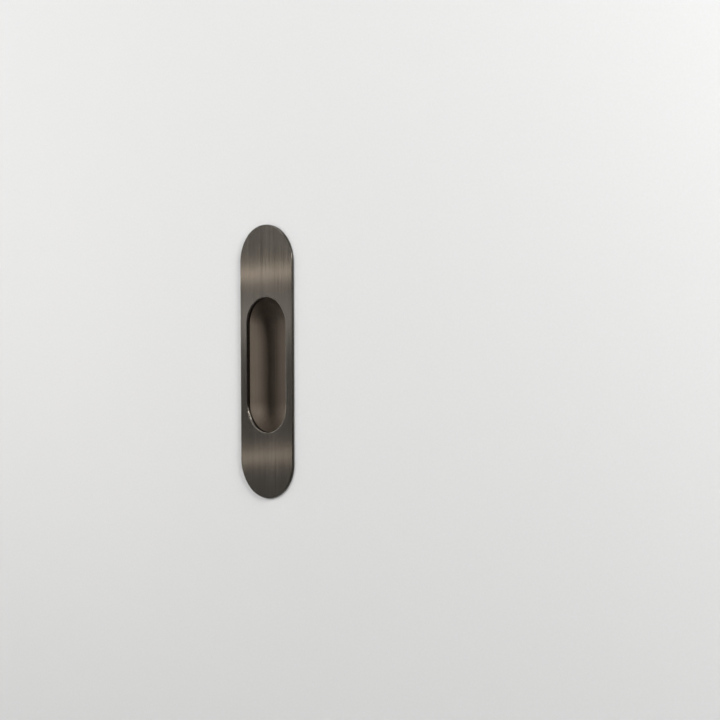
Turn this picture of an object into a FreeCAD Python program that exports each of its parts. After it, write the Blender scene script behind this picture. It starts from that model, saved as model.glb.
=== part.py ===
import FreeCAD, Part
import os

# Pocket door pull: a brushed plate with a finger opening, pushed on over a cup that is let into the wood.
# X runs across the pull, Z up along its length and +Y into the wood; the front faces -Y.
# The origin is the middle of the plane where the plate's rim rests on the wood. All sizes are in mm.

# Face plate: its rim laps over the wood, and the thicker middle drops into the recess with the flange
plate_length = 110.0
plate_width = 30.0
plate_rise = 1.0
plate_thick = 1.5
plate_edge_round = 0.3

# Finger opening, a little below the plate's middle
opening_length = 54.0
opening_width = 22.0
opening_drop = 1.3
opening_round = 0.5

# Finger cup: a half-round trough, set back behind the plate's edge by the lip, and its fixing flange
lip = 0.4
cup_wall = 1.2
flange_thick = 2.0
flange_border = 0.4

# Pegs on the plate's back, which push into holes in the flange
peg_radius = 1.5
peg_length = 1.7
peg_tip = 0.3
peg_across = 14.0
peg_pitch = 73.0

# Two countersunk wood screws through the flange, one above and one below the cup
screw_pitch = 82.0
screw_radius = 1.75
screw_length = 20.0
screw_tip = 3.5
head_radius = 3.5
drive_width = 0.8
drive_span = 3.4
drive_depth = 1.1

# Clearances
peg_gap = 0.05
head_recess = 0.2
head_gap = 0.02
hole_gap = 0.25

# Positions that follow from the sizes above
front = -plate_rise
plate_back = front + plate_thick
flange_back = plate_back + flange_thick
cup_length = opening_length + 2 * lip
cup_radius = opening_width / 2 + lip
flange_width = 2 * (cup_radius + cup_wall + flange_border)
seat_land = (plate_width - flange_width) / 2
flange_length = plate_length - 2 * seat_land
screw_heights = (-screw_pitch / 2, screw_pitch / 2)
clear = 5.0
inward = FreeCAD.Vector(0, 1, 0)


def vec(x, y, z):
    return FreeCAD.Vector(x, y, z)


def obround(length, width, y0, y1, drop=0.0):
    """A slab with round ends, from depth y0 to y1, its middle dropped below the origin."""
    r = width / 2
    top = length / 2 - r - drop
    low = -length / 2 + r - drop
    outline = [
        Part.makeLine(vec(-r, y0, low), vec(-r, y0, top)),
        Part.Arc(vec(-r, y0, top), vec(0, y0, top + r), vec(r, y0, top)).toShape(),
        Part.makeLine(vec(r, y0, top), vec(r, y0, low)),
        Part.Arc(vec(r, y0, low), vec(0, y0, low - r), vec(-r, y0, low)).toShape(),
    ]
    return Part.Face(Part.Wire(outline)).extrude(vec(0, y1 - y0, 0))


def trough(length, radius, y, drop):
    """Half of a bar with domed ends, its flat side at depth y and its round side towards +Y."""
    top = length / 2 - radius - drop
    low = -length / 2 + radius - drop
    lean = radius / 2 ** 0.5
    outline = [
        Part.makeLine(vec(0, y, top + radius), vec(0, y, low - radius)),
        Part.Arc(vec(0, y, low - radius), vec(lean, y, low - lean), vec(radius, y, low)).toShape(),
        Part.makeLine(vec(radius, y, low), vec(radius, y, top)),
        Part.Arc(vec(radius, y, top), vec(lean, y, top + lean), vec(0, y, top + radius)).toShape(),
    ]
    return Part.Face(Part.Wire(outline)).revolve(vec(0, y, 0), vec(0, 0, 1), 180)


def edges_at(shape, y, half_width):
    """The edges that lie wholly at depth y and within half_width of the middle."""
    found = []
    for edge in shape.Edges:
        box = edge.BoundBox
        level = abs(box.YMin - y) < 1e-6 and abs(box.YMax - y) < 1e-6
        if level and box.XMax < half_width and box.XMin > -half_width:
            found.append(edge)
    return found


def turned(points, x, z):
    """A solid of revolution about the line along +Y at x, z, from (radius, depth) points."""
    outline = [vec(x + r, y, z) for r, y in points]
    outline.append(outline[0])
    return Part.Face(Part.makePolygon(outline)).revolve(vec(x, 0, z), inward, 360)


peg_places = []
for px in (-peg_across / 2, peg_across / 2):
    for pz in (-peg_pitch / 2, peg_pitch / 2):
        peg_places.append((px, pz))

# Face plate, cut from sheet: eased rim, stepped back, rounded opening and four pegs
plate = obround(plate_length, plate_width, front, 0)
plate = plate.makeFillet(plate_edge_round, edges_at(plate, front, plate_width))
plate = plate.fuse(obround(flange_length, flange_width, front + plate_rise / 2, plate_back)).removeSplitter()
plate = plate.cut(obround(opening_length, opening_width, front - clear, clear, opening_drop))
plate = plate.makeFillet(opening_round, edges_at(plate, front, opening_width / 2 + 1e-3))
peg_end = plate_back + peg_length
for px, pz in peg_places:
    peg = turned(
        [
            (0, plate_back - plate_thick / 2),
            (peg_radius, plate_back - plate_thick / 2),
            (peg_radius, peg_end - peg_tip),
            (peg_radius - peg_tip, peg_end),
            (0, peg_end),
        ],
        px,
        pz,
    )
    plate = plate.fuse(peg)
plate = plate.removeSplitter()

# Finger cup, in one piece with the flange that the screws hold and the pegs push into
cup = obround(flange_length, flange_width, plate_back, flange_back)
cup = cup.fuse(trough(cup_length + 2 * cup_wall, cup_radius + cup_wall, plate_back, opening_drop))
cup = cup.removeSplitter()
cup = cup.cut(trough(cup_length, cup_radius, plate_back, opening_drop))
for px, pz in peg_places:
    cup = cup.cut(Part.makeCylinder(peg_radius + peg_gap, clear, vec(px, plate_back, pz), inward))
sink_radius = head_radius + head_recess + head_gap
hole_radius = screw_radius + hole_gap
sink_depth = sink_radius - hole_radius
for z in screw_heights:
    start = vec(0, plate_back, z)
    cup = cup.cut(Part.makeCylinder(hole_radius, clear, start, inward))
    cup = cup.cut(Part.makeCone(sink_radius, hole_radius, sink_depth, start, inward))

# Fixing screws: countersunk head with a cross drive, just below the flange's face, shank and pointed tip
screws = []
for z in screw_heights:
    y = plate_back + head_recess
    screw = turned(
        [
            (0, y),
            (head_radius, y),
            (screw_radius, y + head_radius - screw_radius),
            (screw_radius, y + screw_length - screw_tip),
            (0, y + screw_length),
        ],
        0,
        z,
    )
    for dx, dz in ((drive_span, drive_width), (drive_width, drive_span)):
        corner = vec(-dx / 2, y - clear + drive_depth, z - dz / 2)
        screw = screw.cut(Part.makeBox(dx, clear, dz, corner))
    screws.append(screw)

os.makedirs("parts", exist_ok=True)
plate.exportStep("parts/face_plate.step")
cup.exportStep("parts/finger_cup.step")
Part.makeCompound(screws).exportStep("parts/fixing_screws.step")
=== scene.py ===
import math

import bmesh
import bpy
from mathutils import Matrix, Quaternion, Vector


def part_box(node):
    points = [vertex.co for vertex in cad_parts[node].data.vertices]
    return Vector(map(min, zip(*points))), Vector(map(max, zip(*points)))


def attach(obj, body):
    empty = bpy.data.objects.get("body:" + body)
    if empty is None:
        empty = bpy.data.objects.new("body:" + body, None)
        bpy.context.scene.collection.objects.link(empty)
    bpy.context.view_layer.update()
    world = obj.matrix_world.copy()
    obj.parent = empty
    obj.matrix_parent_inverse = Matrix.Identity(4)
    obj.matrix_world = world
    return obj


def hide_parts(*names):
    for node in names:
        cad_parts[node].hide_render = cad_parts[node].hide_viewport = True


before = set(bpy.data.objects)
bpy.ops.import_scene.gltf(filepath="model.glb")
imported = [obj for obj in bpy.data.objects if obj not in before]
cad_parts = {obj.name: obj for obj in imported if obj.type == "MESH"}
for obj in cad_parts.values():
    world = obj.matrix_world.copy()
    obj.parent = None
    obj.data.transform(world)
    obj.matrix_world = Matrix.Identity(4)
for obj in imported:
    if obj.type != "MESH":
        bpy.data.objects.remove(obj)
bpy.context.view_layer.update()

# Face plate
# A flat brass plate with round ends, cut from sheet, its edges eased and its face brushed along its length.
# It has a dark graphite bronze finish. Four pegs on its back push into the flange, so no fixing shows.


class Wire:
    """A shader socket. Sums and products of wires and numbers become Math nodes."""

    def __init__(self, tree, socket=None):
        self.tree = tree
        self.socket = socket

    def node(self, kind, settings, inputs, out=0):
        made = self.tree.nodes.new(kind)
        for key, value in settings.items():
            setattr(made, key, value)
        for key, value in inputs.items():
            if isinstance(value, Wire):
                self.tree.links.new(value.socket, made.inputs[key])
            else:
                made.inputs[key].default_value = value
        return Wire(self.tree, made.outputs[out] if len(made.outputs) else None)

    def maths(self, operation, a, b):
        return self.node("ShaderNodeMath", {"operation": operation}, {0: a, 1: b})

    def __add__(self, other):
        return self.maths("ADD", self, other)

    def __radd__(self, other):
        return self.maths("ADD", other, self)

    def __sub__(self, other):
        return self.maths("SUBTRACT", self, other)

    def __rsub__(self, other):
        return self.maths("SUBTRACT", other, self)

    def __mul__(self, other):
        return self.maths("MULTIPLY", self, other)

    def __rmul__(self, other):
        return self.maths("MULTIPLY", other, self)


def new_finish(name):
    """An empty material, and a wire to start its nodes from."""
    material = bpy.data.materials.new(name)
    material.use_nodes = True
    material.node_tree.nodes.clear()
    return material, Wire(material.node_tree)


def noise(start, grains, detail, roughness):
    """Noise from 0 to 1 over the piece, with the number of its grains in a metre along X, Y and Z."""
    place = start.node("ShaderNodeTexCoord", {}, {}, "Object")
    scaled = start.node("ShaderNodeMapping", {}, {"Vector": place, "Scale": grains})
    settings = {"Vector": scaled, "Scale": 1.0, "Detail": detail, "Roughness": roughness}
    return start.node("ShaderNodeTexNoise", {}, settings, "Fac")


def blend(start, share, low, high):
    """A colour that runs from low to high with the share."""
    return start.node("ShaderNodeMix", {"data_type": "RGBA"}, {"Factor": share, 6: low, 7: high}, 2)


def metal(start, inputs):
    """The metal shader, wired to the material's output."""
    shader = start.node("ShaderNodeBsdfPrincipled", {}, {"Metallic": 1.0, **inputs})
    start.node("ShaderNodeOutputMaterial", {}, {"Surface": shader})


brushed, start = new_finish("graphite_bronze_brushed")
hair_lines = noise(start, (6000, 6000, 60), 2.0, 0.5)
fine_lines = noise(start, (2000, 2000, 36), 2.0, 0.6)
clear_lines = noise(start, (1100, 1100, 18), 1.0, 0.5)
broad_lines = noise(start, (350, 350, 6), 1.0, 0.5)
lines = hair_lines * 0.32 + fine_lines * 0.32 + clear_lines * 0.29 + broad_lines * 0.07
streaks = lines * 1.75 - 0.375
metal(
    start,
    {
        "Base Color": blend(start, streaks, (0.040, 0.036, 0.030, 1), (0.172, 0.154, 0.132, 1)),
        "Roughness": 0.16 + streaks * 0.12,
        "Anisotropic": 0.92,
        "Normal": start.node(
            "ShaderNodeBump", {}, {"Strength": 0.25, "Distance": 0.00002, "Height": streaks}
        ),
    },
)
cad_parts["face_plate"].data.materials[0] = brushed

# Finger cup
# A half-round brass trough with domed ends, forged in one piece with the flange that the plate covers.
# It has the same dark bronze finish as the plate, but satin, with faint strokes along its length.
satin, start = new_finish("graphite_bronze_satin")
mottle = noise(start, (160, 160, 160), 4.0, 0.55)
strokes = noise(start, (1100, 1100, 22), 2.0, 0.5)
worn = mottle * 0.4 + strokes * 0.6
grain = noise(start, (4200, 4200, 4200), 2.0, 0.5)
metal(
    start,
    {
        "Base Color": blend(start, worn, (0.145, 0.118, 0.094, 1), (0.261, 0.218, 0.176, 1)),
        "Roughness": 0.62 + mottle * 0.08 + grain * 0.06,
        "Normal": start.node(
            "ShaderNodeBump", {}, {"Strength": 0.12, "Distance": 0.00003, "Height": grain}
        ),
    },
)
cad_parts["finger_cup"].data.materials[0] = satin

# Fixing screws
# Two zinc plated steel wood screws with countersunk heads, through the flange above and below the cup.
# Each is headed and threaded from wire, with a cross drive, a plain neck and a gimlet point.
zinc, start = new_finish("bright_zinc")
bloom = noise(start, (500, 500, 500), 3.0, 0.6)
marks = noise(start, (3000, 900, 3000), 2.0, 0.5)
metal(
    start,
    {
        "Base Color": blend(start, bloom, (0.56, 0.55, 0.52, 1), (0.70, 0.69, 0.64, 1)),
        "Roughness": 0.22 + marks * 0.16,
        "Normal": start.node(
            "ShaderNodeBump", {}, {"Strength": 0.15, "Distance": 0.00003, "Height": marks}
        ),
    },
)

MM = 0.001
screw_low, screw_high = (Vector(corner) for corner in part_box("fixing_screws"))
head_radius = screw_high.x
screw_height = screw_high.z - head_radius
shank_radius = 1.75 * MM
shank_end = screw_low.y + 6.5 * MM
core_radius = 1.15 * MM
tip_start = screw_high.y - 3.5 * MM
drive_width = 0.8 * MM
drive_span = 3.4 * MM
drive_depth = 1.1 * MM
thread_pitch = 1.5 * MM
thread_root = 0.45 * MM
thread_crest = 0.06 * MM
thread_turns = 8.7
facets_round = 48

bm = bmesh.new()
upright = Matrix.Rotation(math.radians(90), 4, "X")
head_face = Matrix.Translation((0, screw_low.y, 0)) @ upright
bmesh.ops.create_circle(bm, cap_ends=True, segments=facets_round, radius=head_radius, matrix=head_face)
for direction in (Vector((1, 0, 0)), Vector((0, 0, 1))):
    for cut in (-drive_span / 2, -drive_width / 2, drive_width / 2, drive_span / 2):
        disc = bm.verts[:] + bm.edges[:] + bm.faces[:]
        bmesh.ops.bisect_plane(bm, geom=disc, dist=1e-7, plane_co=direction * cut, plane_no=direction)
cross = []
for face in bm.faces:
    narrow, wide = sorted((abs(face.calc_center_median().x), abs(face.calc_center_median().z)))
    if narrow < drive_width / 2 and wide < drive_span / 2:
        cross.append(face)
sunk = bmesh.ops.extrude_face_region(bm, geom=cross)["geom"]
sunk = [item for item in sunk if isinstance(item, bmesh.types.BMVert)]
bmesh.ops.translate(bm, verts=sunk, vec=(0, drive_depth, 0))
bmesh.ops.scale(bm, verts=sunk, vec=(0.75, 1, 0.75))

profile = [
    (head_radius, screw_low.y),
    (shank_radius, screw_low.y + head_radius - shank_radius),
    (shank_radius, shank_end),
    (core_radius, shank_end + shank_radius - core_radius),
    (core_radius, tip_start),
    (0, screw_high.y),
]
points = [bm.verts.new((radius, depth, 0)) for radius, depth in profile]
lines = [bm.edges.new(pair) for pair in zip(points, points[1:])]
bmesh.ops.spin(
    bm,
    geom=points + lines,
    axis=(0, 1, 0),
    angle=math.tau,
    steps=facets_round,
    use_merge=True,
)
bmesh.ops.remove_doubles(bm, verts=bm.verts, dist=1e-7)

rib = [
    bm.verts.new((core_radius - thread_crest, shank_end - thread_root, 0)),
    bm.verts.new((shank_radius, shank_end - thread_crest, 0)),
    bm.verts.new((shank_radius, shank_end + thread_crest, 0)),
    bm.verts.new((core_radius - thread_crest, shank_end + thread_root, 0)),
]
body = set(bm.verts) - set(rib)
section = bm.faces.new(rib)
steps = int(thread_turns * facets_round)
bmesh.ops.spin(
    bm,
    geom=[section, *section.edges, *rib],
    axis=(0, 1, 0),
    dvec=(0, thread_turns * thread_pitch / steps, 0),
    angle=thread_turns * math.tau,
    steps=steps,
)
for vert in set(bm.verts) - body:
    left = (screw_high.y - vert.co.y) / (screw_high.y - tip_start)
    taper = min(1.0, max(0.04, left))
    vert.co = (vert.co.x * taper, vert.co.y, vert.co.z * taper)
twin = bmesh.ops.duplicate(bm, geom=bm.verts[:] + bm.edges[:] + bm.faces[:])["geom"]
twin = [item for item in twin if isinstance(item, bmesh.types.BMVert)]
first = list(set(bm.verts) - set(twin))
bmesh.ops.translate(bm, verts=first, vec=(0, 0, screw_height))
bmesh.ops.translate(bm, verts=twin, vec=(0, 0, -screw_height))
bmesh.ops.recalc_face_normals(bm, faces=bm.faces)
for face in bm.faces:
    face.smooth = True
screw_mesh = bpy.data.meshes.new("threaded_screws")
bm.to_mesh(screw_mesh)
bm.free()
screw_mesh.set_sharp_from_angle(angle=math.radians(35))
screw_mesh.materials.append(zinc)
screws = bpy.data.objects.new("threaded_screws", screw_mesh)
bpy.context.collection.objects.link(screws)
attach(screws, "root")
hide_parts("fixing_screws")

# Backdrop and floor
# A plain pale upright sheet just behind the plate's rim, with a round-ended cut-out for the cup, a pale
# floor a metre below, and a card behind the sheet that shows pale without lighting the pull.


def card_colour(start):
    """Pale grey paper with a faint tooth."""
    tooth = noise(start, (900, 900, 900), 2.0, 0.5)
    return blend(start, tooth, (0.78, 0.78, 0.775, 1), (0.82, 0.82, 0.815, 1))


pale, start = new_finish("pale_card")
lit = start.node("ShaderNodeBsdfDiffuse", {}, {"Color": card_colour(start)})
start.node("ShaderNodeOutputMaterial", {}, {"Surface": lit})

shown, start = new_finish("shown_card")
seen = start.node("ShaderNodeLightPath", {}, {}, "Is Camera Ray")
mirrored = start.node("ShaderNodeLightPath", {}, {}, "Is Glossy Ray")
through = start.node("ShaderNodeLightPath", {}, {}, "Is Transmission Ray")
lit = start.node("ShaderNodeBsdfDiffuse", {}, {"Color": card_colour(start)})
glow = start.node("ShaderNodeEmission", {}, {"Color": card_colour(start), "Strength": 1.0})
either = start.node("ShaderNodeMixShader", {}, {0: seen + mirrored + through, 1: lit, 2: glow})
start.node("ShaderNodeOutputMaterial", {}, {"Surface": either})


def stand(name, bm, finish):
    """A piece of the studio, which isn't part of the pull."""
    mesh = bpy.data.meshes.new(name)
    bm.to_mesh(mesh)
    bm.free()
    mesh.materials.append(finish)
    piece = bpy.data.objects.new(name, mesh)
    bpy.context.collection.objects.link(piece)


cup_low, cup_high = (Vector(corner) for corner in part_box("finger_cup"))
cut_radius = cup_high.x + 0.2 * MM
cut_reach = cup_high.z - cup_high.x
sheet_reach = 1.6
bm = bmesh.new()
cut_place = Matrix.Translation((0, 0.05 * MM, 0)) @ upright
rim = bmesh.ops.create_circle(bm, segments=128, radius=cut_radius, matrix=cut_place)["verts"]
bmesh.ops.translate(bm, verts=[v for v in rim if v.co.z > 1e-6], vec=(0, 0, cut_reach))
bmesh.ops.translate(bm, verts=[v for v in rim if v.co.z < 1e-6], vec=(0, 0, -cut_reach))
spread = bmesh.ops.extrude_edge_only(bm, edges=bm.edges[:])["geom"]
spread = [item for item in spread if isinstance(item, bmesh.types.BMVert)]
wider = sheet_reach / cut_radius
taller = sheet_reach / (cut_radius + cut_reach)
bmesh.ops.scale(bm, verts=spread, vec=(wider, 1, taller))
bmesh.ops.recalc_face_normals(bm, faces=bm.faces)
stand("backdrop", bm, pale)

bm = bmesh.new()
aside = Matrix.Translation((-3.0, 0.98, 0)) @ Matrix.Rotation(math.radians(90), 4, "Y")
bmesh.ops.create_grid(bm, x_segments=1, y_segments=1, size=1.0, matrix=aside)
stand("side_card", bm, shown)

bm = bmesh.new()
low = Matrix.Translation((0, 0, -1.0))
bmesh.ops.create_grid(bm, x_segments=1, y_segments=1, size=4.0, matrix=low)
stand("floor", bm, pale)

# Studio light
# Soft boxes high at the right and at the left for the cup and the edges, weak low panels for the brushed
# face with two thin, warm strips for the bands across it, and a box behind the sheet for the hidden side.


def toward(azimuth, elevation):
    """The direction to a place round the pull, in degrees from its front towards its right, and up."""
    turn = math.radians(azimuth)
    rise = math.radians(elevation)
    return Vector((math.sin(turn) * math.cos(rise), -math.cos(turn) * math.cos(rise), math.sin(rise)))


def soft_box(
    name, aim_height, azimuth, elevation, distance, width, height, watts, tint=(1, 1, 1), roll=0
):
    """A rectangular lamp that faces the pull at the given height and shows only in what it lights."""
    lamp = bpy.data.lights.new(name, "AREA")
    lamp.shape = "RECTANGLE"
    lamp.size = width
    lamp.size_y = height
    lamp.energy = watts
    lamp.color = tint
    aim = Vector((0, 0, aim_height))
    box = bpy.data.objects.new(name, lamp)
    box.location = aim + toward(azimuth, elevation) * distance
    facing = (aim - box.location).to_track_quat("-Z", "Y") @ Quaternion((0, 0, 1), math.radians(roll))
    box.rotation_euler = facing.to_euler()
    bpy.context.collection.objects.link(box)
    box.visible_camera = False


warm = (1.0, 0.90, 0.78)
soft_box("right_box", 0, 74, 23, 0.9, 0.28, 0.28, 8.8)
soft_box("right_high_box", 0, 62, 55, 0.9, 0.28, 0.28, 0.7)
soft_box("left_box", 0, -20, 12, 0.9, 0.28, 0.28, 2.2)
soft_box("left_high_box", 0, -35, 32, 0.9, 0.28, 0.28, 2.1)
soft_box("left_side_box", 0, -72, 16, 0.9, 0.40, 0.28, 1.4)
soft_box("left_side_panel", 0, -76, -4, 0.9, 0.24, 0.24, 0.9)
soft_box("low_left_box", 0, -40, -24, 0.9, 0.60, 0.40, 0.2)
soft_box("front_panel", 0, 0, -3, 0.9, 0.40, 0.34, 0.25)
soft_box("face_panel", 0, -46, -2, 0.85, 0.30, 0.28, 0.112)
soft_box("face_strip", 0, -46, -0.7, 0.85, 0.30, 0.03, 0.056)
soft_box("upper_strip", 0.0358, -46, -0.5, 0.2, 0.08, 0.004, 0.0066, warm, 5)
soft_box("lower_strip", -0.0379, -46, -5.7, 0.2, 0.08, 0.004, 0.0046, warm, 5)
soft_box("back_box", 0, 190, 35, 1.5, 1.2, 1.2, 28)

world = bpy.data.worlds.new("studio")
world.use_nodes = True
world.node_tree.nodes["Background"].inputs["Color"].default_value = (1, 1, 1, 1)
world.node_tree.nodes["Background"].inputs["Strength"].default_value = 0.01
bpy.context.scene.world = world
bpy.context.scene.view_settings.view_transform = "Standard"

# Camera
# A 100 mm lens 0.8 m away on the pull's right and a little above its middle. It is turned a little to the
# right, so that the pull stands left of the picture's middle.
eye = toward(46.3, 3.04) * 0.8036
target = toward(136.3, 0) * 0.03703 + Vector((0, 0, 0.00058))
lens = bpy.data.cameras.new("camera")
lens.lens = 100
lens.sensor_width = 36
lens.clip_start = 0.01
camera = bpy.data.objects.new("camera", lens)
camera.location = eye
turned = (target - eye).to_track_quat("-Z", "Y") @ Quaternion((0, 0, 1), math.radians(-0.10))
camera.rotation_euler = turned.to_euler()
bpy.context.collection.objects.link(camera)
bpy.context.scene.camera = camera
